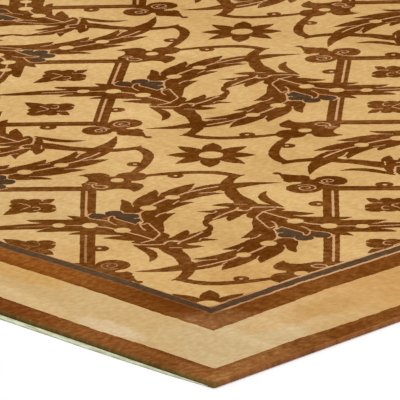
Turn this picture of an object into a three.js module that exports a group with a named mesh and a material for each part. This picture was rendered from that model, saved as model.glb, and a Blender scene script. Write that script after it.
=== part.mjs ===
import * as THREE from 'three';

// A hand-knotted wool rug, nine by twelve feet, lying flat.
// Millimetres, +Z up. The origin is on the floor, under the middle of the rug.
// X runs across the rug, Y along it. The two short ends carry a narrow cotton web.

// Driving dimensions of the rug
const LENGTH = 3658;              // over both end webs, twelve feet
const WIDTH = 2743;               // over the two long sides, nine feet
const THICKNESS = 10;             // pile and foundation together
const CORNER_RADIUS = 6;          // worn round of each corner, seen from above

// The cotton web that the warps and wefts leave beyond the pile at each short end
const WEB_REACH = 17;             // its full reach beyond the pile
const WEB_THICKNESS = 2;
const WEB_TUCK_LENGTH = 160;      // over about this length from a corner it is drawn in
const WEB_END_INSET = 16;         // the web starts this far in from the corner
const SEAT_GAP = 0.3;             // between the web and the pile's edge

// Steps along the rug's outline
const STEPS_LONG_SIDE = 72;
const STEPS_SHORT_END = 54;
const STEPS_CORNER = 5;
const STEPS_WEB = 90;

// The rim, from the floor up: how far each ring lies inside the outline, and its height
const RIM = [
	{ inset: 2.2, height: 0.0 },
	{ inset: 0.7, height: 0.9 },
	{ inset: 0.1, height: 2.6 },
	{ inset: 0.0, height: 5.0 },
	{ inset: 0.5, height: 7.4 },
	{ inset: 1.7, height: 9.2 },
	{ inset: 3.8, height: THICKNESS },
];

// A handmade edge wanders by a millimetre or two: two slow waves for each edge
const EDGE_WAVES = {
	right: { long: 1.1, longTurns: 2.5, short: 0.5, shortTurns: 9, phase: 0.4 },
	back: { long: 1.0, longTurns: 1.5, short: 0.4, shortTurns: 7, phase: 2.1 },
	left: { long: 1.2, longTurns: 2.0, short: 0.5, shortTurns: 10, phase: 4.0 },
	front: { long: 0.9, longTurns: 1.5, short: 0.4, shortTurns: 8, phase: 5.2 },
};

// Colours of the bare solids
const PILE_COLOUR = 0xc9a468;
const WEB_COLOUR = 0xd9d3bd;

const HALF_WIDTH = WIDTH / 2;
const HALF_PILE_LENGTH = LENGTH / 2 - WEB_REACH - SEAT_GAP;

// How far an edge stands out of its straight line at a share of its length from 0 to 1.
// It fades to nothing at both corners, so that neighbouring edges meet there.
function edgeWander( wave, share ) {

	const fade = Math.sin( Math.PI * share );
	const slow = wave.long * Math.sin( wave.phase + 2 * Math.PI * wave.longTurns * share );
	const quick = wave.short * Math.sin( wave.phase + 2 * Math.PI * wave.shortTurns * share );
	return fade * ( slow + quick );

}

// One edge as points with outward normals, walked anticlockwise, without its corners
function edgePoints( from, to, outward, wave, steps ) {

	const points = [];
	for ( let i = 0; i <= steps; i ++ ) {

		const share = i / steps;
		const place = from.clone().lerp( to, share );
		place.addScaledVector( outward, edgeWander( wave, share ) );
		points.push( { place, outward } );

	}

	return points;

}

// The quarter round between two edges, without the points that the edges already hold
function cornerPoints( centre, startAngle ) {

	const points = [];
	for ( let i = 1; i < STEPS_CORNER; i ++ ) {

		const angle = startAngle + ( Math.PI / 2 ) * ( i / STEPS_CORNER );
		const outward = new THREE.Vector2( Math.cos( angle ), Math.sin( angle ) );
		points.push( { place: centre.clone().addScaledVector( outward, CORNER_RADIUS ), outward } );

	}

	return points;

}

// The outline of the pile seen from above, anticlockwise from the front right corner
function pileOutline() {

	const x = HALF_WIDTH;
	const y = HALF_PILE_LENGTH;
	const r = CORNER_RADIUS;
	const at = ( px, py ) => new THREE.Vector2( px, py );
	return [
		...edgePoints( at( x, - y + r ), at( x, y - r ), at( 1, 0 ), EDGE_WAVES.right, STEPS_LONG_SIDE ),
		...cornerPoints( at( x - r, y - r ), 0 ),
		...edgePoints( at( x - r, y ), at( - x + r, y ), at( 0, 1 ), EDGE_WAVES.back, STEPS_SHORT_END ),
		...cornerPoints( at( - x + r, y - r ), Math.PI / 2 ),
		...edgePoints( at( - x, y - r ), at( - x, - y + r ), at( - 1, 0 ), EDGE_WAVES.left, STEPS_LONG_SIDE ),
		...cornerPoints( at( - x + r, - y + r ), Math.PI ),
		...edgePoints( at( - x + r, - y ), at( x - r, - y ), at( 0, - 1 ), EDGE_WAVES.front, STEPS_SHORT_END ),
		...cornerPoints( at( x - r, - y + r ), 1.5 * Math.PI ),
	];

}

// A flat slab whose rim follows the given profile all round the outline
function rimmedSlab( outline, rim ) {

	const rings = rim.map( ( { inset, height } ) => outline.map( ( { place, outward } ) => {

		const drawnIn = place.clone().addScaledVector( outward, - inset );
		return new THREE.Vector3( drawnIn.x, drawnIn.y, height );

	} ) );
	const count = outline.length;
	const indices = [];

	for ( let ring = 0; ring < rings.length - 1; ring ++ ) {

		for ( let i = 0; i < count; i ++ ) {

			const next = ( i + 1 ) % count;
			const a = ring * count + i;
			const b = ring * count + next;
			indices.push( a, b, b + count, a, b + count, a + count );

		}

	}

	const topStart = ( rings.length - 1 ) * count;
	const flat = ( ring ) => ring.map( ( p ) => new THREE.Vector2( p.x, p.y ) );
	for ( const [ a, b, c ] of THREE.ShapeUtils.triangulateShape( flat( rings[ 0 ] ), [] ) ) {

		indices.push( a, c, b );

	}

	for ( const [ a, b, c ] of THREE.ShapeUtils.triangulateShape( flat( rings.at( - 1 ) ), [] ) ) {

		indices.push( topStart + a, topStart + b, topStart + c );

	}

	const geometry = new THREE.BufferGeometry().setFromPoints( rings.flat() );
	geometry.setIndex( indices );
	geometry.computeVertexNormals();
	return geometry;

}

// The web of one short end: a strip along the pile's edge, drawn in towards both corners.
// side is -1 for the front end and 1 for the back end.
function endWebGeometry( side, wave ) {

	const reachAlongX = HALF_WIDTH - WEB_END_INSET;
	const edgeLength = WIDTH - 2 * CORNER_RADIUS;
	const inner = [];
	const outer = [];
	for ( let i = 0; i <= STEPS_WEB; i ++ ) {

		const x = - reachAlongX + 2 * reachAlongX * ( i / STEPS_WEB );
		const share = 0.5 - side * x / edgeLength;
		const pileEdge = HALF_PILE_LENGTH + edgeWander( wave, share );
		const fromCorner = HALF_WIDTH - Math.abs( x );
		const reach = WEB_REACH * ( 1 - Math.exp( - fromCorner / WEB_TUCK_LENGTH ) );
		inner.push( new THREE.Vector2( x, side * ( pileEdge + SEAT_GAP ) ) );
		outer.push( new THREE.Vector2( x, side * ( HALF_PILE_LENGTH + reach + SEAT_GAP ) ) );

	}

	const shape = new THREE.Shape( [ ...inner, ...outer.reverse() ] );
	return new THREE.ExtrudeGeometry( shape, { depth: WEB_THICKNESS, bevelEnabled: false } );

}

const pileMaterial = new THREE.MeshStandardMaterial( { color: PILE_COLOUR, roughness: 0.95, metalness: 0 } );
const webMaterial = new THREE.MeshStandardMaterial( { color: WEB_COLOUR, roughness: 0.9, metalness: 0 } );

const rug = new THREE.Group();

const pile = new THREE.Mesh( rimmedSlab( pileOutline(), RIM ), pileMaterial );
pile.name = 'knotted_pile';
rug.add( pile );

const webs = [
	{ name: 'front_end_web', side: - 1, wave: EDGE_WAVES.front },
	{ name: 'back_end_web', side: 1, wave: EDGE_WAVES.back },
];

for ( const { name, side, wave } of webs ) {

	const web = new THREE.Mesh( endWebGeometry( side, wave ), webMaterial );
	web.name = name;
	rug.add( web );

}

export default rug;
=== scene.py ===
"""A hand-knotted wool rug lying flat: its charted pile, its cotton end webs and a plain studio round it."""

from __future__ import annotations

import logging
import math
from dataclasses import dataclass, field
from enum import IntEnum

import bpy
import numpy as np
from mathutils import Matrix, Vector

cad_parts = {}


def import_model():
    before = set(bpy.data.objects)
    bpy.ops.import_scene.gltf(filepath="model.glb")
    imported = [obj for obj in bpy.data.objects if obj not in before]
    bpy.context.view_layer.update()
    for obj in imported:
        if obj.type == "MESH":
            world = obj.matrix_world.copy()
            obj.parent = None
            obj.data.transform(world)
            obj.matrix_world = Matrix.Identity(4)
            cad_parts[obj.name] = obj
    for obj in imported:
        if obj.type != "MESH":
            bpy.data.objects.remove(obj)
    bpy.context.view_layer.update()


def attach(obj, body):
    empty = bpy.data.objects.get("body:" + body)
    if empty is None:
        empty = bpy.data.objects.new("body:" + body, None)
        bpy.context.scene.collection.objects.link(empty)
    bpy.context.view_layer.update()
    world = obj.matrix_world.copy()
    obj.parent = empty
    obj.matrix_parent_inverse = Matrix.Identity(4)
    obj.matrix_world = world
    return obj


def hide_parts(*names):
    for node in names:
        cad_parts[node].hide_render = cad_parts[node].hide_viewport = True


log = logging.getLogger("rug")

# A place, a scale along each axis, a colour from 0 to 255, or a stroke's x, y and half width
Triple = tuple[float, float, float]
Socket = bpy.types.NodeSocket

# The rug's own sizes in metres, as in its solids
HALF_WIDTH = 1.3715
HALF_PILE_LENGTH = 1.8117
PILE_TOP = 0.010
CORNER_RADIUS = 0.006
WEB_REACH = 0.017
WEB_THICKNESS = 0.002
WEB_TUCK_LENGTH = 0.160
WEB_END_INSET = 0.016
SEAT_GAP = 0.0003

MILLIMETRE = 0.001
KNOT = 0.0016  # one knot along a row, and one row of knots
MAP_MARGIN = (0.02, 0.06)  # how much larger than the pile the flat map is, across and along

# How finely the chart's curves are drawn
CURVE_PARTS = 6
SPIRAL_POINTS = 12

# The picture's width in pixels, the camera's film in millimetres and its focal length in pixels
PICTURE = 400
FILM = 36
FOCAL_PIXELS = 4687

# Dye patches and painted shade patches alike are full to the first of these shares of their reach and gone at
# the second
PATCH_FULL = 0.85
PATCH_GONE = 1.25
PATCH_CLOUD = 0.5
PATCH_CLOUD_SCALE = (26.0, 17.0, 1.0)

# The wave node makes one band where its scale times the way comes to this
WAVE_BAND = 0.314159
WAVE_SCALE = 10.0
NOISE_ROUGHNESS = 0.55


class Yarn(IntEnum):
    """The dyed yarns of the pile."""

    NONE = -1
    GOLD = 0
    BROWN = 1
    SLATE = 2
    CREAM = 3
    BEIGE = 4
    CHESTNUT = 5
    UMBER = 6
    RUSSET = 7


@dataclass(frozen=True)
class EdgeWave:
    """Two slow waves by which one handmade edge leaves its straight line."""

    long: float
    long_turns: float
    short: float
    short_turns: float
    phase: float

    def wander(self, share: np.ndarray) -> np.ndarray:
        """Give how far the edge stands out, in metres.

        Both waves are sines of the share of the edge's length, faded to nothing at its two ends.

        Args:
            share: places along the edge, from 0 to 1.

        Returns:
            The distance outwards at each place.
        """
        fade = np.sin(np.pi * share)
        slow = self.long * np.sin(self.phase + 2 * np.pi * self.long_turns * share)
        quick = self.short * np.sin(self.phase + 2 * np.pi * self.short_turns * share)
        return MILLIMETRE * fade * (slow + quick)


EDGES = {
    "right": EdgeWave(1.1, 2.5, 0.5, 9, 0.4),
    "back": EdgeWave(1.0, 1.5, 0.4, 7, 2.1),
    "left": EdgeWave(1.2, 2.0, 0.5, 10, 4.0),
    "front": EdgeWave(0.9, 1.5, 0.4, 8, 5.2),
}


def share_along(name: str, place: np.ndarray) -> np.ndarray:
    """Give the share of an edge's length, walked anticlockwise, at places along it.

    Args:
        name: the edge.
        place: y for the two long sides, x for the two short ends, in metres.

    Returns:
        The shares, from 0 to 1.
    """
    half = (HALF_PILE_LENGTH if name in ("right", "left") else HALF_WIDTH) - CORNER_RADIUS
    way = 1 if name in ("right", "front") else -1
    return np.clip(0.5 + way * place / (2 * half), 0, 1)


def edge_line(name: str, place: np.ndarray) -> np.ndarray:
    """Give an edge's distance from the rug's middle line, in metres.

    Args:
        name: the edge.
        place: where along the edge, as in share_along.

    Returns:
        Half the rug's size there, with the edge's wander added.
    """
    half = HALF_WIDTH if name in ("right", "left") else HALF_PILE_LENGTH
    return half + EDGES[name].wander(share_along(name, place))


def show_mesh(mesh: bpy.types.Mesh) -> bpy.types.Object:
    """Put a mesh into the scene as a piece of its own name.

    Args:
        mesh: the finished mesh.

    Returns:
        The new object, at the origin.
    """
    piece = bpy.data.objects.new(mesh.name, mesh)
    bpy.context.collection.objects.link(piece)
    return piece


def make_flat(name: str, points: np.ndarray, faces: np.ndarray) -> bpy.types.Object:
    """Put computed points and flat four-sided faces into a new piece.

    Args:
        name: the piece's name.
        points: an N by 3 array, in metres.
        faces: an M by 4 array of point numbers, anticlockwise from outside.

    Returns:
        The new object, at the origin, in the scene.
    """
    mesh = bpy.data.meshes.new(name)
    mesh.vertices.add(len(points))
    mesh.vertices.foreach_set("co", points.astype(np.float32).ravel())
    mesh.loops.add(faces.size)
    mesh.loops.foreach_set("vertex_index", faces.astype(np.int32).ravel())
    mesh.polygons.add(len(faces))
    mesh.polygons.foreach_set("loop_start", np.arange(0, faces.size, 4, dtype=np.int32))
    mesh.polygons.foreach_set("use_smooth", np.zeros(len(faces), bool))
    mesh.update(calc_edges=True)
    mesh.validate()
    return show_mesh(mesh)


def wrap_rings(name: str, rings: np.ndarray, smooth: bool) -> bpy.types.Object:
    """Join a row of closed rings of points to one closed piece.

    Each ring is walked anticlockwise as seen from the last one, so that the faces point outwards. A flat face
    fills the first ring and the last.

    Args:
        name: the piece's name.
        rings: an R by N by 3 array, in metres.
        smooth: whether the faces between the rings are shaded smooth.

    Returns:
        The new object, at the origin, in the scene.
    """
    row, count = rings.shape[:2]
    here = np.arange(count)
    after = (here + 1) % count
    low = (np.arange(row - 1) * count)[:, None]
    up = low + count
    sides = np.stack([low + here, low + after, up + after, up + here], -1).reshape(-1, 4).tolist()
    ends = [here[::-1].tolist(), ((row - 1) * count + here).tolist()]
    mesh = bpy.data.meshes.new(name)
    mesh.from_pydata(rings.reshape(-1, 3).tolist(), [], sides + ends)
    mesh.polygons.foreach_set("use_smooth", [smooth] * len(sides) + [False, False])
    mesh.update()
    return show_mesh(mesh)


def map_flat(piece: bpy.types.Object) -> None:
    """Give a flat piece a map seen from above: x and y over the rug's own box, from 0 to 1.

    Args:
        piece: the piece.
    """
    mesh = piece.data
    layer = mesh.uv_layers.new(name="OFBake")
    points = np.empty(len(mesh.vertices) * 3, np.float32)
    mesh.vertices.foreach_get("co", points)
    corner = np.empty(len(mesh.loops), np.int32)
    mesh.loops.foreach_get("vertex_index", corner)
    flat = points.reshape(-1, 3)[corner, :2]
    size = np.array([2 * HALF_WIDTH, 2 * HALF_PILE_LENGTH]) + MAP_MARGIN
    layer.uv.foreach_set("vector", (flat / size + 0.5).astype(np.float32).ravel())


@dataclass(frozen=True)
class Stroke:
    """A brush stroke of one yarn: places it runs through, each with half its width there."""

    yarn: Yarn
    line: tuple[Triple, ...]

    def samples(self) -> np.ndarray:
        """Give the stroke's middle line and half width as a smooth run of points.

        Between each two places the curve is the cubic that the four nearest places give.

        Returns:
            An N by 3 array of x, y and half width.
        """
        p = np.array(self.line, float)
        if len(p) == 1:
            return np.vstack([p, p])
        p = np.vstack([2 * p[0] - p[1], p, 2 * p[-1] - p[-2]])
        t = np.linspace(0, 1, CURVE_PARTS + 1)[:-1][None, :, None]
        a, b, c, d = (p[i : len(p) - 3 + i][:, None, :] for i in range(4))
        curve = 0.5 * (
            2 * b + (c - a) * t + (2 * a - 5 * b + 4 * c - d) * t**2 + (3 * b - a - 3 * c + d) * t**3
        )
        return np.vstack([curve.reshape(-1, 3), p[-2]])

    def turned(self) -> Stroke:
        """Give the stroke's twin, turned half round the motif's middle."""
        return Stroke(self.yarn, tuple((-x, -y, w) for x, y, w in self.line))

    def mirrored(self, across: int, along: int) -> Stroke:
        """Give the stroke mirrored across or along the chart wherever the sign given is -1."""
        return Stroke(self.yarn, tuple((x * across, y * along, w) for x, y, w in self.line))

    def swapped(self) -> Stroke:
        """Give the stroke mirrored over the diagonal."""
        return Stroke(self.yarn, tuple((y, x, w) for x, y, w in self.line))

    def moved(self, dx: float, dy: float) -> Stroke:
        """Give the stroke moved by a distance."""
        return Stroke(self.yarn, tuple((x + dx, y + dy, w) for x, y, w in self.line))


def brown(*line: Triple) -> Stroke:
    """Give a brown stroke."""
    return Stroke(Yarn.BROWN, line)


def slate(*line: Triple) -> Stroke:
    """Give a slate stroke."""
    return Stroke(Yarn.SLATE, line)


def gold(*line: Triple) -> Stroke:
    """Give a stroke of the ground's yarn, as in an eyelet."""
    return Stroke(Yarn.GOLD, line)


def cream(*line: tuple[float, float], half: float = 2.6) -> Stroke:
    """Give a thin cream line of even width."""
    return Stroke(Yarn.CREAM, tuple((x, y, half) for x, y in line))


def spiral(
    yarn: Yarn, x: float, y: float, outer: float, inner: float, turns: float, start: float, half: float
) -> Stroke:
    """Give a spiral line that winds in towards a middle.

    The radius shrinks evenly with the angle.

    Args:
        yarn: the line's yarn.
        x: the middle's x.
        y: the middle's y.
        outer: the radius where the line starts.
        inner: the radius where it ends.
        turns: how many turns it makes, anticlockwise, or clockwise where negative.
        start: the angle where it starts, in degrees.
        half: half the line's width.

    Returns:
        The spiral's stroke.
    """
    share = np.linspace(0, 1, int(abs(turns) * SPIRAL_POINTS))
    angle = math.radians(start) + 2 * np.pi * turns * share
    radius = outer + (inner - outer) * share
    places = np.stack([x + radius * np.cos(angle), y + radius * np.sin(angle), np.full_like(share, half)], 1)
    return Stroke(yarn, tuple(map(tuple, places.tolist())))


# The great leaf scroll, half of it. The other half is this one turned half round.
# Places are in chart squares from the scroll's middle, with half the width at each place.
BARS = (
    brown((-259, -262, 3.7), (-259, 262, 3.7)),
    brown((-240.2, -262, 7.6), (-240.2, 262, 7.6)),
)
SEAM = ((-251.6, -262, 2.4), (-251.6, 262, 2.4))
CURL = (
    brown((-221, -152, 17.5)),
    gold((-223, -151, 4.6)),
    brown((-243, -136, 6), (-233, -143, 6)),
)
STEM = (
    brown((-90, -138, 12), (-76, -158, 20), (-67, -180, 17.5), (-56, -201, 15.5), (-50, -221, 14.5),
          (-46, -243, 13), (-42, -268, 11.5), (-37, -296, 12), (-41, -320, 11), (-48, -340, 10),
          (-54, -353, 11)),
    brown((-50, -348, 9), (-71, -360, 1)),
    brown((-56, -353, 9), (-30, -370, 10), (2, -379, 10.5), (40, -378, 10), (82, -370, 9), (112, -361, 8),
          (136, -351, 6)),
    brown((69, -353, 16)),
    gold((69, -354, 4.5)),
    brown((-150, -130, 2), (-131, -155, 8), (-117, -178, 10), (-111, -200, 8.5), (-111, -221, 5.5),
          (-117, -241, 0)),
)
SWEEPING_LEAF = (
    brown((-96, -64, 2), (-104, -30, 14), (-113, 20, 21.5), (-112, 60, 24), (-112, 92, 26),
          (-115, 122, 30), (-96, 168, 33), (-64, 204, 32), (-28, 236, 28), (15, 260, 23), (55, 282, 18),
          (95, 297, 10), (146, 304, 0)),
    brown((-134, 160, 9), (-121, 195, 14), (-113, 222, 11), (-108, 252, 0)),
    brown((-88, 220, 10), (-64, 250, 13), (-44, 274, 10), (-30, 297, 0)),
    brown((-100, 30, 10), (-92, 56, 11), (-82, 74, 8), (-67, 86, 0)),
    brown((-95, 105, 14), (-76, 132, 13), (-57, 149, 10), (-43, 158, 6), (-32, 162, 1)),
    brown((-48, 190, 12), (-22, 210, 11), (4, 221, 7), (28, 226, 1)),
    brown((-28, 256, 7), (-4, 273, 9), (24, 287, 9), (44, 292, 8)),
    gold((8, 235, 1.5), (16, 238, 3), (24, 243, 4.5)),
)
LONG_LEAF = (
    brown((-104, -90, 4), (-130, -58, 28), (-160, -26, 43), (-195, -5, 47), (-230, 2, 44), (-270, 5, 40),
          (-300, 5, 36), (-325, 3, 26), (-355, 0, 18.5), (-400, -3, 16.5), (-440, -9, 12), (-470, -13, 8),
          (-502, -15, 1)),
    brown((-214, 44, 14), (-250, 49, 13), (-272, 57, 9), (-290, 71, 0)),
    brown((-270, 30, 12), (-310, 33, 11), (-345, 35, 10), (-364, 38, 7), (-376, 43, 0)),
    brown((-140, -88, 14), (-165, -86, 14), (-188, -82, 10), (-211, -83, 2)),
    brown((-190, -44, 18), (-222, -46, 13), (-250, -49, 10), (-272, -51, 7), (-288, -58, 0)),
    brown((-270, -24, 12), (-310, -27, 10), (-338, -30, 8), (-358, -38, 0)),
)
ROOT = (
    brown((-153, -113, 2), (-128, -112, 18), (-96, -114, 26), (-70, -126, 20), (-46, -138, 10)),
    brown((-104, -92, 14), (-96, -72, 5)),
    brown((-88, -104, 8), (-64, -84, 9), (-54, -66, 10), (-46, -50, 8), (-43, -34, 2)),
    brown((-100, -96, 9), (-88, -78, 8), (-87, -62, 7), (-91, -50, 1)),
    brown((-70, -108, 12), (-36, -100, 11), (-8, -96, 8), (21, -97, 0)),
    brown((-60, -118, 8), (-34, -112, 7), (-10, -107, 0)),
    brown((-132, -136, 7), (-92, -142, 10), (-50, -145, 11), (-28, -143, 9), (-8, -140, 0)),
    brown((-70, -100, 6), (-44, -82, 10), (-19, -60, 11), (-1, -37, 8), (5, -15, 5), (2, 5, 3)),
    brown((-36, -90, 10), (-14, -74, 12), (-3, -60, 9), (4, -44, 3)),
)
LEAFLET = (
    brown((-163, 96, 15), (-165, 118, 15), (-167, 142, 10.5), (-169, 160, 8), (-174, 174, 4),
          (-177, 183, 0)),
    brown((-147, 96, 8), (-148, 118, 10), (-146, 138, 8), (-138, 156, 15), (-131, 180, 16),
          (-122, 205, 13)),
)
GRAPES = (
    brown((-226, 46, 12), (-208, 48, 16), (-192, 46, 18), (-172, 24, 16)),
    brown((-210, 64, 10), (-196, 60, 12)),
    slate((-227, 68, 16)),
    slate((-193, 85, 18)),
    slate((-184, 66, 12)),
    slate((-160, 65, 19)),
    slate((-155, 38, 18)),
    slate((-168, 50, 14)),
)
VOLUTES = (
    brown((-192, -262, 34)),
    brown((-247, -314, 34)),
    brown((-192, -300, 10), (-206, -306, 13), (-222, -296, 12)),
    brown((-246, -262, 10), (-236, -285, 14), (-222, -296, 12)),
    brown((-146, -361, 2), (-156, -350, 9), (-168, -338, 18), (-178, -330, 21)),
    brown((-190, -345, 12), (-203, -343, 3)),
    brown((-165, -316, 10), (-186, -312, 10)),
    brown((-149, -358, 2), (-141, -367, 2)),
    brown((-138, -372, 6.5)),
    gold((-209, -336, 7), (-207, -326, 5)),
    gold((-160, -296, 5), (-177, -297, 5.5)),
)
LOBES = (
    brown((-262, 360, 3), (-244, 356, 14), (-228, 354, 20), (-225, 336, 18), (-228, 318, 20),
          (-236, 300, 20)),
    brown((-187, 318, 24)),
    brown((-170, 357, 20), (-150, 357, 20)),
    brown((-158, 345, 28)),
    brown((-206, 338, 7), (-186, 338, 7)),
    brown((-167, 322, 6), (-167, 300, 7)),
    brown((-222, 280, 20), (-190, 281, 20), (-160, 279, 21), (-148, 272, 13)),
    brown((-150, 262, 12), (-151, 250, 6), (-152, 238, 0)),
    brown((-245, 287, 17)),
    brown((-218, 262, 15)),
    gold((-187, 320, 14.5)),
)
EYELETS = (
    gold((-122, 122, 17)),
    gold((-73, 198, 15.5)),
    gold((-175, -31, 17)),
    gold((-243, 3, 17)),
    gold((-309, 5.5, 14)),
    gold((-65, -106, 5.5)),
)
VEINS = (
    cream((-128, 107), (-137, 93), (-139, 76), (-138, 58), (-136, 43), (-133, 30), (-136, 18),
          (-146, 12), half=2),
    cream((-138, 52), (-149, 50), half=1.7),
    cream((-178, 103), (-172, 88), (-160, 85), (-143, 86), half=2),
    cream((-128, -30), (-134, -18), (-137, -5), (-138, 8), (-136, 18), half=1.8),
    cream((-139, 3), (-131, 9), (-123, 18), (-117, 2), (-108, -24), (-99, -50), (-100, -66),
          (-112, -97), half=1.9),
    cream((-110, -97), (-122, -84), (-141, -65), (-163, -46)),
    cream((-112, -97), (-135, -115)),
    cream((-117, 137), (-111, 149), (-99, 168), (-86, 186), half=3.2),
    cream((-60, 211), (-45, 231), (-24, 247), (-5, 262), (18, 275), half=2.9),
    cream((-28, 270), (-33, 257), (-40, 244), half=1.7),
    cream((-18, 227), (0, 232), (20, 237), half=2),
    cream((-60, 173), (-66, 160), (-71, 149), half=1.7),
    cream((-100, 224), (-103, 206), half=1.5),
    cream((-156, 148), (-153, 133), half=1.5),
    cream((-106, 62), (-99, 78), (-88, 90), half=2.2),
    cream((-190, -24), (-205, -13), (-228, -5), half=3),
    cream((-259, 4), (-278, 4), (-296, 4), half=2.4),
    cream((-322, 4), (-350, 3), (-398, -4), half=2.2),
    cream((-331, -12), (-348, -19), half=1.6),
    cream((-192, 64), (-198, 66), (-204, 54), (-204, 34), (-196, 16), (-188, 6), half=1.6),
    cream((-193, 62), (-189, 48), (-174, 33), (-158, 18), (-148, 8), half=1.7),
    cream((-205, 33), (-222, 41), (-236, 47), (-246, 56), (-247, 74), (-240, 87), half=1.7),
    cream((-145, -125), (-130, -129), (-92, -127), (-86, -115), (-78, -105), (-64, -103), (-56, -110)),
    cream((-60, -124), (-57, -110), (-45, -96), (-30, -76), (-11, -44), half=2.8),
    cream((-17, -100), (-13, -88), (-5, -82), half=1.6),
    cream((-78, -148), (-52, -150), half=1.4),
    spiral(Yarn.CREAM, -193, -265, 17, 4, 1.3, 180, 1.5),
    spiral(Yarn.CREAM, -244, -311, 24, 5, 1.6, 320, 1.5),
    cream((-226, 276), (-225, 289), (-236, 301), (-247, 287), (-238, 271), (-218, 268), half=2),
    cream((-206, 261), (-205, 270), (-213, 278), (-221, 268), (-214, 256), half=1.7),
    cream((-205, -284), (-218, -270), (-224, -254), (-222, -240), half=1.6),
)

ROSETTE = (
    brown((0, 30, 14), (0, 46, 19), (0, 60, 18), (0, 74, 11), (0, 84, 5), (0, 92, 0)),
    brown((30, 0, 14), (46, 0, 19), (58, 0, 17), (72, 0, 11), (83, 0, 5), (92, 0, 0)),
    brown((22, 20, 14), (36, 32, 17), (48, 44, 14), (59, 54, 8), (71, 66, 0)),
    brown((22, 20, 14), (36, 32, 17), (48, 44, 14), (59, 54, 8), (71, 66, 0)).mirrored(-1, 1),
)
ROSETTE_EYE = (brown((0, 0, 42)), gold((0, 0, 25.5)))

# The small flower up on the right of a scroll's middle. The other three mirror it.
SMALL_FLOWER = (
    brown((-33, -26, 20), (-34, -5, 18)),
    brown((-9, 37, 14)),
    brown((24, 32, 20)),
    brown((26, -25, 20)),
    brown((-2, -28, 17)),
    brown((29, 4, 16)),
    brown((0, 2, 28)),
    brown((34, -36, 16), (44, -46, 10), (58, -58, 0)),
    brown((-31, 24, 10), (-37, 38, 10), (-48, 49, 1)),
    gold((-56, -21, 2.5), (-46, -19, 1)),
    cream((-24, 54), (-24, 36), half=2.1),
    cream((6, 54), (6, 46), half=1.8),
    cream((-52, 18), (-34, 18), (-18, 16), half=1.5),
    cream((26, 24), (14, 14), (1, 1), (10, -12), (22, -26), half=1.5),
    cream((-4, -8), (-14, -7), (-20, -17), (-16, -29), (-6, -31), half=1.4),
)


@dataclass
class Chart:
    """One repeat of the field's pattern, painted square by square in the yarns' numbers."""

    period: int = 1018
    swell: float = 1.3
    flower_place: tuple[int, int] = (369, 140)
    squares: np.ndarray = field(default_factory=lambda: np.zeros((0, 0), np.int8))

    def scroll(self, seam: Yarn) -> list[Stroke]:
        """Give one whole leaf scroll, with every part's twin.

        Args:
            seam: the yarn of the thin line between the two bars.

        Returns:
            Its strokes, the lowest first.
        """
        seams = (Stroke(seam, SEAM),)
        leaves = (LEAFLET, LONG_LEAF, SWEEPING_LEAF, ROOT)
        layers = (BARS, seams, CURL, STEM, VOLUTES, LOBES, *leaves, GRAPES, EYELETS, VEINS)
        return [s for layer in layers for stroke in layer for s in (stroke, stroke.turned())]

    def strokes(self) -> list[Stroke]:
        """Give every stroke of one repeat, whose middle is the upright scroll's.

        Returns:
            The strokes, the lowest first.
        """
        half = self.period / 2
        upright = self.scroll(Yarn.CREAM)
        lying = [s.swapped().moved(half, half) for s in self.scroll(Yarn.CHESTNUT)]
        rosette = [s for stroke in ROSETTE for s in (stroke, stroke.turned())] + list(ROSETTE_EYE)
        small = [
            s.mirrored(across, along).moved(self.flower_place[0] * across, self.flower_place[1] * along)
            for across in (-1, 1)
            for along in (-1, 1)
            for s in SMALL_FLOWER
        ]
        return upright + lying + [s.moved(0, half) for s in rosette] + small

    def paint(self) -> None:
        """Paint all strokes into the repeat, wrapped round its edges.

        The dark yarns' tufts swell a little way over their neighbours. A square belongs to a stroke where its
        distance to the stroke's middle line is less than half the stroke's width there, the width changing
        evenly along each short straight part.
        """
        n = self.period
        self.squares = np.full((n, n), int(Yarn.GOLD), np.int8)
        for stroke in self.strokes():
            run = stroke.samples()
            if stroke.yarn in (Yarn.BROWN, Yarn.SLATE):
                run[:, 2] += self.swell
            for a, b in zip(run[:-1], run[1:]):
                self.paint_part(a, b, int(stroke.yarn))

    def paint_part(self, a: np.ndarray, b: np.ndarray, yarn: int) -> None:
        """Paint one short straight part of a stroke.

        Args:
            a: x, y and half width at its start.
            b: the same at its end.
            yarn: the yarn's number.
        """
        reach = max(a[2], b[2], 0.5) + 1
        low = np.floor(np.minimum(a[:2], b[:2]) - reach).astype(int)
        high = np.ceil(np.maximum(a[:2], b[:2]) + reach).astype(int)
        xs = np.arange(low[0], high[0] + 1)
        ys = np.arange(low[1], high[1] + 1)
        dx, dy = b[0] - a[0], b[1] - a[1]
        length = dx * dx + dy * dy
        px, py = xs[None, :] + 0.5 - a[0], ys[:, None] + 0.5 - a[1]
        share = np.clip((px * dx + py * dy) / length, 0, 1) if length > 1e-9 else np.zeros((len(ys), len(xs)))
        away = np.hypot(px - share * dx, py - share * dy) - (a[2] + share * (b[2] - a[2]))
        rows, columns = np.nonzero(away < 0)
        self.squares[ys[rows] % self.period, xs[columns] % self.period] = yarn

    def at(self, x: np.ndarray, y: np.ndarray) -> np.ndarray:
        """Give the yarn at places of the chart.

        Args:
            x: squares across, from the upright scroll's middle.
            y: squares along.

        Returns:
            The yarns' numbers.
        """
        n = self.period
        return self.squares[np.floor(y).astype(int) % n, np.floor(x).astype(int) % n]


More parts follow.
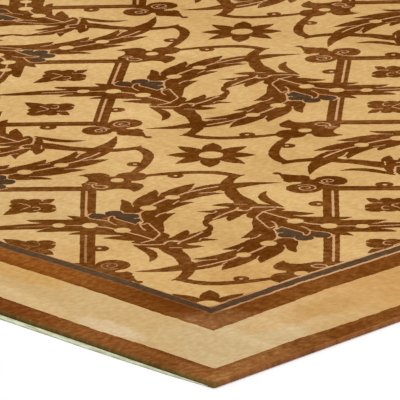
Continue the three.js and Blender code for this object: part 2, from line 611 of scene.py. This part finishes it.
@dataclass(frozen=True)
class Band:
    """A band of the border: how far its inner edge lies from the rug's own edge, at places along it.

    The band sways slowly. Each pair is a way along the edge and the band's reach there, both in metres. On a
    long side the way is measured from the front end, on a short end from the right side.
    """

    yarn: Yarn
    side: tuple[tuple[float, float], ...]
    end: tuple[tuple[float, float], ...]

    def holds(self, from_side: np.ndarray, from_end: np.ndarray, x: np.ndarray, y: np.ndarray) -> np.ndarray:
        """Tell which places lie on the band or outside it.

        Args:
            from_side: distances to the nearer long side, in metres.
            from_end: distances to the nearer short end.
            x: places across the rug.
            y: places along it.

        Returns:
            True at each such place.
        """
        side = np.interp(y + HALF_PILE_LENGTH, *zip(*self.side))
        end = np.interp(HALF_WIDTH - x, *zip(*self.end))
        return (from_side < side) | (from_end < end)


@dataclass(frozen=True)
class Waver:
    """How the border's bands waver along one pair of edges: slowly, with a wandering beat, and finely."""

    slow_swing: float
    slow_rate: float
    side_shift: float
    beat_rate: float
    wander_rate: float
    fine_rate: float
    beat_swing: float = 0.0006
    wander: float = 3.0
    fine_swing: float = 0.0004

    def at(self, place: np.ndarray, side: np.ndarray) -> np.ndarray:
        """Give how far the bands are moved, in metres, as a sum of three sines.

        Args:
            place: places along the edge, in metres.
            side: -1 or 1, for the edge of the pair that is nearer.

        Returns:
            The distance inwards at each place.
        """
        slow = self.slow_swing * np.sin(self.slow_rate * place + self.side_shift * side)
        beat = np.sin(self.beat_rate * place + self.wander * np.sin(self.wander_rate * place))
        return slow + self.beat_swing * beat + self.fine_swing * np.sin(self.fine_rate * place)


@dataclass
class Layout:
    """Where the chart's squares and the border's bands fall on the rug.

    The drift's shares weren't chosen by hand. They come from a least-squares fit of the pattern's places to
    the photograph, made outside this script and rounded. The bands' reaches come from edges measured in the
    photograph, at four or five places along each side, and were then moved a little.
    """

    square: float = 0.000925
    broad: float = 1.1
    first_row: float = 990.4
    drift_wave_across: Triple = (0.8, 0, 800)  # its swing, start and length
    drift_wave_along: Triple = (1.2, 1000, 1200)
    drift_across: tuple[float, ...] = (0, -11, 14, -5, 76, 56, 63, -59, -61, -63)
    drift_along: tuple[float, ...] = (0, -8, 3, -3, -26, -16, -5, 57, 8, 68)
    pull_place: tuple[float, float] = (1.03, -1.47)
    pull_reach: float = 0.09
    pull: tuple[float, float] = (12, -10)
    side_waver: Waver = Waver(0.0009, 7.3, 2.0, 47.0, 19.0, 113.0)
    end_waver: Waver = Waver(0.0008, 8.1, 1.3, 53.0, 23.0, 127.0)
    bands: tuple[Band, ...] = (
        Band(
            Yarn.CHESTNUT,
            side=((0.10, 0.0552), (0.29, 0.0549), (0.37, 0.0484), (0.53, 0.0446), (1.40, 0.0530)),
            end=((0.10, 0.0580), (0.20, 0.0590), (0.35, 0.0525), (0.60, 0.0522), (1.40, 0.0550)),
        ),
        Band(
            Yarn.BEIGE,
            side=((0.26, 0.2018), (0.46, 0.2076), (0.54, 0.2092), (0.72, 0.2022), (1.40, 0.2040)),
            end=((0.22, 0.2062), (0.34, 0.2032), (0.60, 0.2032), (0.75, 0.1981), (1.40, 0.2030)),
        ),
        Band(
            Yarn.RUSSET,
            side=((0.30, 0.2660), (0.43, 0.2678), (0.52, 0.2672), (0.78, 0.2575), (1.40, 0.2650)),
            end=((0.28, 0.2715), (0.50, 0.2698), (0.81, 0.2575), (1.40, 0.2680)),
        ),
        Band(
            Yarn.CREAM,
            side=((0.30, 0.2722), (0.43, 0.2740), (0.52, 0.2736), (0.78, 0.2648), (1.40, 0.2715)),
            end=((0.28, 0.2738), (0.50, 0.2720), (0.81, 0.2610), (1.40, 0.2705)),
        ),
        Band(
            Yarn.UMBER,
            side=((0.34, 0.2956), (0.50, 0.2955), (0.63, 0.2930), (0.80, 0.2859), (1.40, 0.2930)),
            end=((0.35, 0.2942), (0.52, 0.2940), (0.84, 0.2824), (1.40, 0.2920)),
        ),
        Band(
            Yarn.CREAM,
            side=((0.34, 0.3018), (0.50, 0.3017), (0.63, 0.2992), (0.80, 0.2921), (1.40, 0.2990)),
            end=((0.35, 0.2967), (0.52, 0.2965), (0.84, 0.2849), (1.40, 0.2945)),
        ),
    )

    def to_chart(self, x: np.ndarray, y: np.ndarray) -> tuple[np.ndarray, np.ndarray]:
        """Give the chart's squares under places on the rug.

        The pattern lies on the bias: its rows run along the diagonal square to the one from the front right
        corner, and a square is a little broader than it is long. The weaving drifts slowly from the chart.
        The drift is a sum of the powers and products, up to the third, of a slow sine of the way across and
        of one of the way along, so it stays small all over the rug. Inside the front right corner the knots
        are pulled a little further, towards the corner.

        Args:
            x: places across the rug, in metres.
            y: places along it.

        Returns:
            Squares across and along, from the middle of the first whole scroll.
        """
        along_right = y + HALF_PILE_LENGTH
        along_left = HALF_WIDTH - x
        across = (along_right - along_left) / math.sqrt(2) / self.square
        forward = (along_right + along_left) / math.sqrt(2) / self.square
        waves = ((across, self.drift_wave_across), (forward, self.drift_wave_along))
        u, v = (swing * np.sin((way - start) / length) for way, (swing, start, length) in waves)
        terms = (1.0, u, v, v * v, u * v, u * u, v**3, u * v * v, u * u * v, u**3)
        aside = sum(share * term for share, term in zip(self.drift_across, terms))
        ahead = sum(share * term for share, term in zip(self.drift_along, terms))
        pull_x, pull_y = self.pull_place
        pull = np.exp(-((x - pull_x) ** 2 + (y - pull_y) ** 2) / self.pull_reach**2)
        aside, ahead = aside + self.pull[0] * pull, ahead + self.pull[1] * pull
        return (across - aside) / self.broad, forward - self.first_row - ahead

    def border(self, x: np.ndarray, y: np.ndarray, yarns: np.ndarray) -> np.ndarray:
        """Lay the border's bands over the field, the innermost first.

        The distances to the edges waver by a millimetre or so along each band.

        Args:
            x: places across the rug, in metres.
            y: places along it.
            yarns: the field's yarn at each place.

        Returns:
            The yarns with the border's bands put in.
        """
        from_side = HALF_WIDTH - np.abs(x) + self.side_waver.at(y, np.sign(x))
        from_end = HALF_PILE_LENGTH - np.abs(y) + self.end_waver.at(x, np.sign(y))
        result = yarns.copy()
        for band in reversed(self.bands):
            result[band.holds(from_side, from_end, x, y)] = int(band.yarn)
        return result


@dataclass
class Pile:
    """The knotted pile: a body with a worn rim, and the knots of each yarn over its face and its back.

    The rim runs from the underside to the top, as millimetres inside the outline and above the floor.
    """

    chart: Chart = field(default_factory=Chart)
    layout: Layout = field(default_factory=Layout)
    rim: tuple[tuple[float, float], ...] = (
        (3.6, 0.15), (2.6, 0.0), (1.3, 0.3), (0.5, 1.2), (0.1, 2.6), (0.0, 4.2), (0.1, 5.6), (0.5, 7.2),
        (1.1, 8.4), (2.0, 9.4), (3.2, 9.9), (4.2, 9.9), (5.2, 9.6),
    )
    face_inset: float = 0.0030
    back_inset: float = 0.0052
    back_height: float = 0.00002
    side_steps: int = 360
    end_steps: int = 270
    corner_steps: int = 8

    def outline(self) -> tuple[np.ndarray, np.ndarray]:
        """Give the rug's outline seen from above and its outward directions.

        Four edges, each straight but for its wander, with a quarter round between neighbours.

        Returns:
            Two N by 2 arrays, walked anticlockwise from the front right corner.
        """
        r = CORNER_RADIUS
        x, y = HALF_WIDTH, HALF_PILE_LENGTH
        edges = (
            ("right", (x, -y + r), (x, y - r), (1, 0), 0.0, self.side_steps),
            ("back", (x - r, y), (-x + r, y), (0, 1), 0.5 * np.pi, self.end_steps),
            ("left", (-x, y - r), (-x, -y + r), (-1, 0), np.pi, self.side_steps),
            ("front", (-x + r, -y), (x - r, -y), (0, -1), 1.5 * np.pi, self.end_steps),
        )
        places, outwards = [], []
        for name, start, end, outward, angle, steps in edges:
            share = np.linspace(0, 1, steps + 1)[:, None]
            out = np.array(outward, float)
            line = (1 - share) * np.array(start) + share * np.array(end)
            places.append(line + EDGES[name].wander(share) * out)
            outwards.append(np.repeat(out[None], steps + 1, 0))
            centre = np.array(end) - out * r
            turn = angle + 0.5 * np.pi * np.linspace(0, 1, self.corner_steps + 1)[1:-1]
            way = np.stack([np.cos(turn), np.sin(turn)], 1)
            places.append(centre + r * way)
            outwards.append(way)
        return np.vstack(places), np.vstack(outwards)

    def build_body(self) -> bpy.types.Object:
        """Build the closed body: the rim's profile carried round the outline, with a flat top and underside.

        Returns:
            The body's piece.
        """
        places, outwards = self.outline()
        rings = [
            np.column_stack([places - outwards * inset, np.full(len(places), height)])
            for inset, height in np.array(self.rim) * MILLIMETRE
        ]
        return wrap_rings("pile_body", np.stack(rings), smooth=True)

    def knots(self, inset: float) -> tuple[np.ndarray, float, float]:
        """Give the yarn of every knot, row by row from the front end.

        Args:
            inset: how far inside the rug's edge the knots end, in metres.

        Returns:
            The yarns' numbers, -1 beyond the rug's edge, with the knots' pitch across and along.
        """
        columns = round(2 * HALF_WIDTH / KNOT)
        rows = round(2 * HALF_PILE_LENGTH / KNOT)
        across, along = 2 * HALF_WIDTH / columns, 2 * HALF_PILE_LENGTH / rows
        x = -HALF_WIDTH + across * (np.arange(columns) + 0.5)[None, :]
        y = -HALF_PILE_LENGTH + along * (np.arange(rows) + 0.5)[:, None]
        x, y = np.broadcast_arrays(x, y)
        yarns = self.layout.border(x, y, self.chart.at(*self.layout.to_chart(x, y)))
        line = y[:, :1]
        outside = (x > edge_line("right", line) - inset) | (x < inset - edge_line("left", line))
        line = x[:1, :]
        outside |= (y > edge_line("back", line) - inset) | (y < inset - edge_line("front", line))
        yarns = np.where(outside, int(Yarn.NONE), yarns)
        return yarns, across, along

    def runs(self, yarns: np.ndarray) -> np.ndarray:
        """Join knots of one yarn to runs along each row, and like runs of neighbouring rows to blocks.

        Args:
            yarns: the yarn of every knot.

        Returns:
            An M by 5 array: yarn, first column, end column, first row, end row.
        """
        rows, columns = yarns.shape
        edge = np.ones((rows, columns), bool)
        edge[:, 1:] = yarns[:, 1:] != yarns[:, :-1]
        row, start = np.nonzero(edge)
        end = np.append(start[1:], columns)
        end[np.append(row[1:] != row[:-1], True)] = columns
        yarn = yarns[row, start]
        keep = yarn >= 0
        yarn, start, end, row = yarn[keep], start[keep], end[keep], row[keep]
        order = np.lexsort((row, end, start, yarn))
        yarn, start, end, row = yarn[order], start[order], end[order], row[order]
        new = np.ones(len(row), bool)
        same = (yarn[1:] == yarn[:-1]) & (start[1:] == start[:-1]) & (end[1:] == end[:-1])
        new[1:] = ~(same & (row[1:] == row[:-1] + 1))
        first = np.nonzero(new)[0]
        last = np.append(first[1:], len(row)) - 1
        return np.stack([yarn[first], start[first], end[first], row[first], row[last] + 1], 1)

    def build_knots(self, name: str, inset: float, height: float, step: int) -> dict[Yarn, bpy.types.Object]:
        """Build one flat piece for the knots of each yarn, on the rug's face or on its back.

        Args:
            name: the start of the pieces' names.
            inset: how far inside the rug's edge the knots end, in metres.
            height: how high they lie. Those lower than half the pile look down.
            step: how many knots, across and along, are drawn as one.

        Returns:
            The pieces by yarn.
        """
        yarns, across, along = self.knots(inset)
        blocks = self.runs(yarns[::step, ::step])
        across, along = across * step, along * step
        pieces = {}
        for yarn in Yarn:
            mine = blocks[blocks[:, 0] == int(yarn)]
            if yarn is Yarn.NONE or not len(mine):
                continue
            x0, x1 = -HALF_WIDTH + across * mine[:, 1], -HALF_WIDTH + across * mine[:, 2]
            y0, y1 = -HALF_PILE_LENGTH + along * mine[:, 3], -HALF_PILE_LENGTH + along * mine[:, 4]
            if height < PILE_TOP / 2:
                x0, x1 = x1, x0
            z = np.full(len(mine), height)
            corners = [np.stack([a, b, z], 1) for a, b in ((x0, y0), (x1, y0), (x1, y1), (x0, y1))]
            points = np.stack(corners, 1).reshape(-1, 3)
            faces = np.arange(len(points)).reshape(-1, 4)
            piece = make_flat(f"{name}_{yarn.name.lower()}", points, faces)
            map_flat(piece)
            pieces[yarn] = piece
            log.info("%s: %d blocks", piece.name, len(mine))
        return pieces


@dataclass
class EndWeb:
    """The cotton web that warps and wefts leave beyond the pile at one short end."""

    side: int
    edge: str
    steps: int = 540
    section_steps: int = 28
    section_powers: tuple[float, float] = (0.35, 0.7)  # below 1 they square the oval, across and up
    least_reach: float = 0.0004
    hem: float = 0.0010
    hem_swing: float = 0.6
    hem_rates: tuple[float, float] = (41.0, 13.0)
    thickness_share: float = 0.9
    ripple: float = 0.10
    ripple_rate: float = 95.0

    def build(self) -> bpy.types.Object:
        """Build the web as a closed strip with rounded long edges.

        A flat oval section, carried along the end of the pile. Its reach grows from nothing at a corner as
        one less an exponential of the way from that corner. Its outer edge and its height ripple a little.

        Returns:
            The web's piece.
        """
        reach_x = HALF_WIDTH - WEB_END_INSET
        x = np.linspace(-reach_x, reach_x, self.steps)
        inner = edge_line(self.edge, x) + SEAT_GAP
        from_corner = HALF_WIDTH - np.abs(x)
        reach = WEB_REACH * (1 - np.exp(-from_corner / WEB_TUCK_LENGTH))
        hem_wave = np.sin(self.hem_rates[0] * x) * np.sin(self.hem_rates[1] * x + 1)
        outer = HALF_PILE_LENGTH + reach + SEAT_GAP - self.hem * (1 + self.hem_swing * hem_wave)
        outer = np.maximum(outer, inner + self.least_reach)
        turn = -self.side * np.linspace(0, 2 * np.pi, self.section_steps, endpoint=False)
        across, up = (
            0.5 + 0.5 * way * np.sign(wave) * np.abs(wave) ** power
            for way, wave, power in zip((-1, 1), (np.cos(turn), np.sin(turn)), self.section_powers)
        )
        y = self.side * (inner[:, None] + (outer - inner)[:, None] * across[None, :])
        ripple = 1 + self.ripple * np.sin(self.ripple_rate * x)[:, None] * np.sin(math.pi * across)[None, :]
        z = WEB_THICKNESS * self.thickness_share * up[None, :] * ripple
        rings = np.stack([np.broadcast_to(x[:, None], y.shape), y, z], -1)
        return wrap_rings(f"{self.edge}_web", rings, smooth=False)


def linear(colour: Triple) -> tuple[float, float, float, float]:
    """Turn a colour from 0 to 255 as seen on a screen into the shader's own scale.

    Args:
        colour: red, green and blue.

    Returns:
        The colour with full cover.
    """
    c = np.array(colour, float) / 255
    value = np.where(c <= 0.04045, c / 12.92, ((c + 0.055) / 1.055) ** 2.4)
    return (*(float(v) for v in value), 1.0)


class Nodes:
    """A material's node tree, with short ways to add and join its nodes."""

    def __init__(self, name: str) -> None:
        """Start a new material.

        Args:
            name: the material's name.
        """
        self.material = bpy.data.materials.new(name)
        self.material.use_nodes = True
        self.tree = self.material.node_tree
        self.shader = self.tree.nodes["Principled BSDF"]

    def add(self, kind: str, feeds: dict[int | str, object], **settings: object) -> bpy.types.Node:
        """Add a node.

        Args:
            kind: the node's type.
            feeds: by input, the socket to join to it or the plain value to set.
            **settings: the node's properties.

        Returns:
            The node.
        """
        node = self.tree.nodes.new(kind)
        for key, value in settings.items():
            setattr(node, key, value)
        for key, value in feeds.items():
            if isinstance(value, Socket):
                self.join(value, node.inputs[key])
            else:
                node.inputs[key].default_value = value
        return node

    def join(self, source: Socket, target: Socket) -> None:
        """Join two sockets."""
        self.tree.links.new(source, target)

    def coordinates(self, scale: Triple, start: Triple = (0.0, 0.0, 0.0)) -> Socket:
        """Give the piece's own coordinates, scaled along each axis and then moved.

        Args:
            scale: the scale along x, y and z.
            start: the move along each, after the scaling.

        Returns:
            The coordinates.
        """
        place = self.add("ShaderNodeTexCoord", {}).outputs["Object"]
        feeds = {"Vector": place, "Scale": scale, "Location": start}
        return self.add("ShaderNodeMapping", feeds).outputs["Vector"]

    def noise(self, scale: Triple, detail: float) -> Socket:
        """Give cloudy noise whose patches are one over the scale in size."""
        values = {"Scale": 1.0, "Detail": detail, "Roughness": NOISE_ROUGHNESS}
        return self.add("ShaderNodeTexNoise", {"Vector": self.coordinates(scale), **values}).outputs["Fac"]

    def ribs(self, axis: str, pitch: float) -> Socket:
        """Give fine ribs that follow one another along an axis.

        Args:
            axis: X or Y.
            pitch: the way from one rib to the next, in metres.

        Returns:
            The ribs' height, from 0 to 1 and back as a sine.
        """
        feeds = {"Vector": self.coordinates((WAVE_SCALE,) * 3), "Scale": WAVE_BAND / pitch / WAVE_SCALE}
        settings = {"wave_type": "BANDS", "bands_direction": axis, "wave_profile": "SIN"}
        return self.add("ShaderNodeTexWave", feeds, **settings).outputs["Fac"]

    def spread(
        self, source: Socket, low: float, high: float, least: float = 0.0, most: float = 1.0
    ) -> Socket:
        """Stretch a value from one range to another, held within it."""
        feeds = {"Value": source, "From Min": low, "From Max": high, "To Min": least, "To Max": most}
        return self.add("ShaderNodeMapRange", feeds).outputs["Result"]

    def mix(self, share: Socket, first: object, second: object) -> Socket:
        """Mix two colours, each a socket or a plain colour."""
        return self.add("ShaderNodeMix", {0: share, 6: first, 7: second}, data_type="RGBA").outputs[2]

    def maths(self, operation: str, first: object, second: object) -> Socket:
        """Join two values by an operation, each a socket or a number."""
        return self.add("ShaderNodeMath", {0: first, 1: second}, operation=operation).outputs[0]

    def bump(self, height: Socket, strength: float, distance: float) -> None:
        """Raise the surface by a height."""
        feeds = {"Strength": strength, "Distance": distance, "Height": height}
        self.join(self.add("ShaderNodeBump", feeds).outputs["Normal"], self.shader.inputs["Normal"])


@dataclass(frozen=True)
class DyeAndShadePatch:
    """A stretch of pile whose colour is changed: by another dye lot, or wear, in the field and border, and by
    painted shade along the rim's two short ends.
    """

    x: float
    y: float
    reach_x: float
    reach_y: float
    colour: Triple
    share: float = 1.0

    def lay(self, n: Nodes, under: Socket) -> Socket:
        """Mix the patch over a colour.

        The patch is an oval round its middle, full to about two thirds of its reach, with a cloudy edge.

        Args:
            n: the material's nodes.
            under: the colour under the patch.

        Returns:
            The mixed colour.
        """
        scale = (1 / self.reach_x, 1 / self.reach_y, 0.0)
        start = (-self.x / self.reach_x, -self.y / self.reach_y, 0.0)
        away = n.add("ShaderNodeVectorMath", {0: n.coordinates(scale, start)}, operation="LENGTH")
        edge = n.maths("MULTIPLY", n.noise(PATCH_CLOUD_SCALE, detail=3.0), PATCH_CLOUD)
        reach = n.maths("ADD", away.outputs["Value"], edge)
        cover = n.spread(reach, PATCH_FULL, PATCH_GONE, self.share, 0.0)
        return n.mix(cover, under, linear(self.colour))


@dataclass(frozen=True)
class WoolFinish:
    """Clipped wool pile: a dyed yarn with its own lighter and darker tones."""

    name: str
    colour: Triple
    pale: Triple
    deep: Triple
    patches: tuple[DyeAndShadePatch, ...] = ()
    cloud_scale: Triple = (3.1, 2.7, 1.0)
    cloud_range: tuple[float, float] = (0.36, 0.64)
    band_scale: Triple = (0.7, 21.0, 1.0)
    band_range: tuple[float, float] = (0.35, 0.65)
    grain_scale: Triple = (95.0, 60.0, 1.0)
    grain_range: tuple[float, float] = (0.3, 0.7)
    nap_scale: Triple = (420.0, 300.0, 200.0)
    tone_shares: tuple[float, ...] = (0.28, 0.17, 0.41, 0.14)  # of clouds, bands, grain and flecks
    deep_range: tuple[float, float] = (0.15, 0.5)
    pale_range: tuple[float, float] = (0.5, 0.85)
    row_share: float = 0.5
    bump_strength: float = 0.35
    bump_depth: float = 0.0012
    roughness: float = 0.95

    def tint(self, n: Nodes, colour: object, tone: Triple) -> Socket:
        """Give a colour its deep or pale tone, in the ratio of that tone to the yarn's own colour.

        Args:
            n: the material's nodes.
            colour: a socket or a plain colour in the shader's scale.
            tone: the yarn's deep or pale colour.

        Returns:
            The toned colour.
        """
        ratio = tuple(a / b for a, b in zip(linear(tone), linear(self.colour)))
        own = colour if isinstance(colour, Socket) else colour[:3]
        return n.add("ShaderNodeVectorMath", {0: own, 1: ratio[:3]}, operation="MULTIPLY").outputs["Vector"]

    def make(self) -> bpy.types.Material:
        """Build the material.

        Slow clouds and bands along the rows of knots move the colour between its deep, own and pale tones.
        Each knot differs a little from its neighbours, and rows and knots are pressed into the surface.

        Returns:
            The material.
        """
        n = Nodes(self.name)
        clouds = n.spread(n.noise(self.cloud_scale, detail=3.0), *self.cloud_range)
        bands = n.spread(n.noise(self.band_scale, detail=2.0), *self.band_range)
        grain = n.spread(n.noise(self.grain_scale, detail=2.0), *self.grain_range)
        knot = n.add("ShaderNodeVectorMath", {0: n.coordinates((1 / KNOT, 1 / KNOT, 0.0))}, operation="FLOOR")
        fleck = n.add("ShaderNodeTexWhiteNoise", {"Vector": knot.outputs[0]}, noise_dimensions="2D")
        sources = (clouds, bands, grain, fleck.outputs["Value"])
        parts = [n.maths("MULTIPLY", source, share) for source, share in zip(sources, self.tone_shares)]
        tone = parts[0]
        for part in parts[1:]:
            tone = n.maths("ADD", tone, part)
        colour = linear(self.colour)
        for patch in self.patches:
            colour = patch.lay(n, colour)
        low = n.mix(n.spread(tone, *self.deep_range), self.tint(n, colour, self.deep), colour)
        high = n.mix(n.spread(tone, *self.pale_range), low, self.tint(n, colour, self.pale))
        n.join(high, n.shader.inputs["Base Color"])
        rows = n.maths("MULTIPLY", n.ribs("Y", KNOT), self.row_share)
        nap = n.noise(self.nap_scale, detail=2.0)
        n.bump(n.maths("ADD", rows, nap), self.bump_strength, self.bump_depth)
        n.shader.inputs["Roughness"].default_value = self.roughness
        n.shader.inputs["Specular IOR Level"].default_value = 0.0
        return n.material


GOLD_PATCHES = (
    DyeAndShadePatch(-0.45, -0.85, 0.80, 0.80, (219, 179, 118)),
    DyeAndShadePatch(0.36, -1.40, 0.30, 0.32, (216, 179, 121)),
    DyeAndShadePatch(1.03, -1.32, 0.13, 0.13, (204, 157, 94), 0.85),
)
BROWN_PATCHES = (
    DyeAndShadePatch(0.40, -1.36, 0.28, 0.30, (117, 69, 23)),
    DyeAndShadePatch(0.80, -0.80, 0.55, 0.32, (102, 54, 11)),
)
BEIGE_PATCHES = (
    DyeAndShadePatch(1.24, -0.78, 0.75, 0.80, (204, 157, 96)),
    DyeAndShadePatch(1.30, -1.62, 0.24, 0.22, (210, 182, 136)),
    DyeAndShadePatch(1.235, -1.375, 0.055, 0.13, (196, 150, 90), 0.9),
    DyeAndShadePatch(1.280, -1.425, 0.030, 0.06, (212, 177, 130), 0.6),
    DyeAndShadePatch(1.34, -1.40, 0.09, 0.14, (202, 164, 108), 0.7),
    DyeAndShadePatch(1.215, -1.50, 0.05, 0.09, (208, 168, 112), 0.7),
    DyeAndShadePatch(1.02, -1.735, 0.12, 0.035, (222, 196, 158), 0.8),
    DyeAndShadePatch(0.72, -1.745, 0.22, 0.05, (221, 190, 141), 0.8),
    DyeAndShadePatch(0.66, -1.63, 0.16, 0.05, (210, 164, 98), 0.8),
)
CREAM_PATCHES = (
    DyeAndShadePatch(0.48, -1.535, 1.10, 0.055, (142, 98, 64)),
    DyeAndShadePatch(0.55, -1.44, 0.75, 0.09, (158, 106, 66), 0.8),
)
RUSSET_PATCHES = (
    DyeAndShadePatch(1.19, -1.62, 0.16, 0.16, (147, 97, 54)),
    DyeAndShadePatch(0.52, -1.57, 0.38, 0.12, (139, 79, 27)),
)
CHESTNUT_PATCHES = (
    DyeAndShadePatch(1.37, -1.62, 0.07, 0.24, (154, 102, 54)),
    DyeAndShadePatch(1.36, -1.10, 0.12, 0.55, (120, 68, 24)),
    DyeAndShadePatch(1.08, -1.79, 0.14, 0.10, (150, 92, 46), 0.4),
    DyeAndShadePatch(0.82, -1.79, 0.14, 0.10, (128, 72, 29), 0.8),
)
# Painted shade: the rim's wool is darkened along the front and back ends, standing in for the shade on those
# sides of the pile.
RIM_PAINTED_SHADE_PATCHES = (
    DyeAndShadePatch(0.0, -1.815, 3.0, 0.03, (124, 92, 46)),
    DyeAndShadePatch(0.0, 1.815, 3.0, 0.03, (124, 92, 46)),
)
# Painted light: the rim's sides get a copy of the chestnut band's wool, painted lighter to make up for the
# shade that falls on them.
RIM_WOOL_PAINTED_LIGHT = WoolFinish("rim_wool_painted_light", (150, 94, 52), (170, 116, 72), (122, 72, 36), RIM_PAINTED_SHADE_PATCHES)
WOOLS = {
    Yarn.GOLD: WoolFinish("gold_wool", (211, 169, 108), (225, 187, 127), (197, 152, 93), GOLD_PATCHES),
    Yarn.BROWN: WoolFinish("brown_wool", (109, 60, 17), (142, 90, 44), (87, 42, 4), BROWN_PATCHES),
    Yarn.SLATE: WoolFinish("slate_wool", (86, 62, 40), (102, 80, 55), (70, 47, 29)),
    Yarn.CREAM: WoolFinish("cream_wool", (206, 158, 112), (216, 172, 126), (192, 142, 98), CREAM_PATCHES),
    Yarn.BEIGE: WoolFinish("beige_wool", (209, 175, 122), (220, 189, 140), (197, 160, 104), BEIGE_PATCHES),
    Yarn.CHESTNUT: WoolFinish(
        "chestnut_wool", (134, 81, 37), (164, 111, 61), (105, 54, 18), CHESTNUT_PATCHES
    ),
    Yarn.UMBER: WoolFinish("umber_wool", (90, 65, 42), (106, 80, 55), (74, 50, 30)),
    Yarn.RUSSET: WoolFinish("russet_wool", (118, 65, 20), (144, 90, 41), (96, 45, 9), RUSSET_PATCHES),
}


@dataclass(frozen=True)
class CottonFinish:
    """The undyed cotton of warps and wefts, in a plain weave."""

    name: str = "cotton_weave"
    stained: Triple = (186, 190, 143)
    clean: Triple = (234, 238, 204)
    stain_scale: Triple = (31.0, 110.0, 1.0)
    stain_range: tuple[float, float] = (0.36, 0.64)
    weft_pitch: float = 0.0012
    bump_strength: float = 0.5
    bump_depth: float = 0.0006
    roughness: float = 0.9

    def make(self) -> bpy.types.Material:
        """Build the material: warp ribs crossed by fine wefts, with soft stains.

        Returns:
            The material.
        """
        n = Nodes(self.name)
        stain = n.spread(n.noise(self.stain_scale, detail=3.0), *self.stain_range)
        n.join(n.mix(stain, linear(self.stained), linear(self.clean)), n.shader.inputs["Base Color"])
        weave = n.maths("ADD", n.ribs("X", KNOT), n.ribs("Y", self.weft_pitch))
        n.bump(weave, self.bump_strength, self.bump_depth)
        n.shader.inputs["Roughness"].default_value = self.roughness
        return n.material


@dataclass(frozen=True)
class FloorFinish:
    """A plain pale matt floor."""

    name: str = "pale_floor"
    dull: Triple = (253, 253, 253)
    bright: Triple = (254, 254, 254)
    cloud_scale: Triple = (0.6, 0.6, 0.6)
    cloud_range: tuple[float, float] = (0.3, 0.7)
    roughness: float = 0.9

    def make(self) -> bpy.types.Material:
        """Build the material, with very faint wide clouds.

        Returns:
            The material.
        """
        n = Nodes(self.name)
        clouds = n.spread(n.noise(self.cloud_scale, detail=2.0), *self.cloud_range)
        n.join(n.mix(clouds, linear(self.dull), linear(self.bright)), n.shader.inputs["Base Color"])
        n.shader.inputs["Roughness"].default_value = self.roughness
        return n.material


@dataclass
class Studio:
    """The floor, the soft lights and the camera."""

    pitch: float = 18.3
    corner_heading: float = 44.4
    corner_pixel: tuple[float, float] = (214.0, 388.65)
    pixel_size: float = 0.00185
    sharp_range: tuple[float, float] = (0.1, 200.0)
    lights: tuple[tuple[str, Triple, float, float], ...] = (
        ("overhead_light", (0.5, -0.5, 6.0), 7.0, 267.0),  # its place, size and power
        ("right_light", (6.0, -1.0, 4.5), 4.0, 50.0),
    )
    surround: float = 0.476
    floor_half: float = 40.0
    floor_height: float = -0.0005

    def build_camera(self) -> None:
        """Set the camera over the front right corner, at the picture's angle.

        The camera's height follows from the size of a pixel at the corner and the corner's place in the
        picture, and its heading from the angle at which the right edge runs away.
        """
        tilt = math.radians(self.pitch)
        turn = math.radians(self.corner_heading)
        forward = Vector((-math.sin(turn), math.cos(turn), 0.0))
        right = Vector((math.cos(turn), math.sin(turn), 0.0))
        look = forward * math.cos(tilt) + Vector((0, 0, -math.sin(tilt)))
        up = right.cross(look)
        aside, down = (pixel - PICTURE / 2 for pixel in self.corner_pixel)
        ray = look * FOCAL_PIXELS + right * aside - up * down
        place = Vector((HALF_WIDTH, -HALF_PILE_LENGTH, 0.0)) - ray * self.pixel_size
        data = bpy.data.cameras.new("camera")
        data.lens = FOCAL_PIXELS / PICTURE * FILM
        data.sensor_width = FILM
        data.clip_start, data.clip_end = self.sharp_range
        camera = bpy.data.objects.new("camera", data)
        turning = Matrix((right, up, -look)).transposed().to_4x4()
        camera.matrix_world = Matrix.Translation(place) @ turning
        bpy.context.collection.objects.link(camera)
        bpy.context.scene.camera = camera

    def build_lights(self) -> None:
        """Add a wide soft light overhead, a softer one from the right and an even surround."""
        for name, place, size, power in self.lights:
            data = bpy.data.lights.new(name, "AREA")
            data.size = size
            data.energy = power
            light = bpy.data.objects.new(name, data)
            turning = Vector(place).to_track_quat("Z", "Y").to_matrix().to_4x4()
            light.matrix_world = Matrix.Translation(place) @ turning
            bpy.context.collection.objects.link(light)
        world = bpy.data.worlds.new("surround")
        world.use_nodes = True
        background = world.node_tree.nodes["Background"]
        background.inputs["Color"].default_value = (1.0, 1.0, 1.0, 1.0)
        background.inputs["Strength"].default_value = self.surround
        bpy.context.scene.world = world
        bpy.context.scene.view_settings.view_transform = "Standard"

    def build_floor(self) -> None:
        """Lay the floor just under the rug."""
        corners = np.array([(-1, -1), (1, -1), (1, 1), (-1, 1)]) * self.floor_half
        points = np.column_stack([corners, np.full(len(corners), self.floor_height)])
        floor = make_flat("floor", points, np.array([[0, 1, 2, 3]]))
        floor.data.materials.append(FloorFinish().make())


def dress(piece: bpy.types.Object, material: bpy.types.Material) -> None:
    """Give a piece its material and its body, and report how many faces it has.

    Args:
        piece: the piece.
        material: its finish.
    """
    piece.data.materials.append(material)
    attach(piece, "root")
    log.info("%s: %d faces", piece.name, len(piece.data.polygons))


def main() -> None:
    """Build the studio, the pile and its webs, and report each piece."""
    logging.basicConfig(level=logging.INFO, format="%(name)s: %(message)s")
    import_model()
    studio = Studio()
    studio.build_camera()
    studio.build_lights()
    studio.build_floor()

    pile = Pile()
    pile.chart.paint()
    wools = {yarn: finish.make() for yarn, finish in WOOLS.items()}
    body = pile.build_body()
    # The body's rim gets the chestnut wool painted lighter, with painted shade along the short ends.
    dress(body, RIM_WOOL_PAINTED_LIGHT.make())
    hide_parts("knotted_pile")
    for name, inset, height, step in (
        ("knots", pile.face_inset, PILE_TOP, 1),
        ("back_knots", pile.back_inset, pile.back_height, 2),
    ):
        for yarn, piece in pile.build_knots(name, inset, height, step).items():
            dress(piece, wools[yarn])

    cotton = CottonFinish().make()
    for side, edge in ((-1, "front"), (1, "back")):
        web = EndWeb(side, edge).build()
        dress(web, cotton)
        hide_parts(f"{edge}_end_web")


if __name__ == "__main__":
    main()
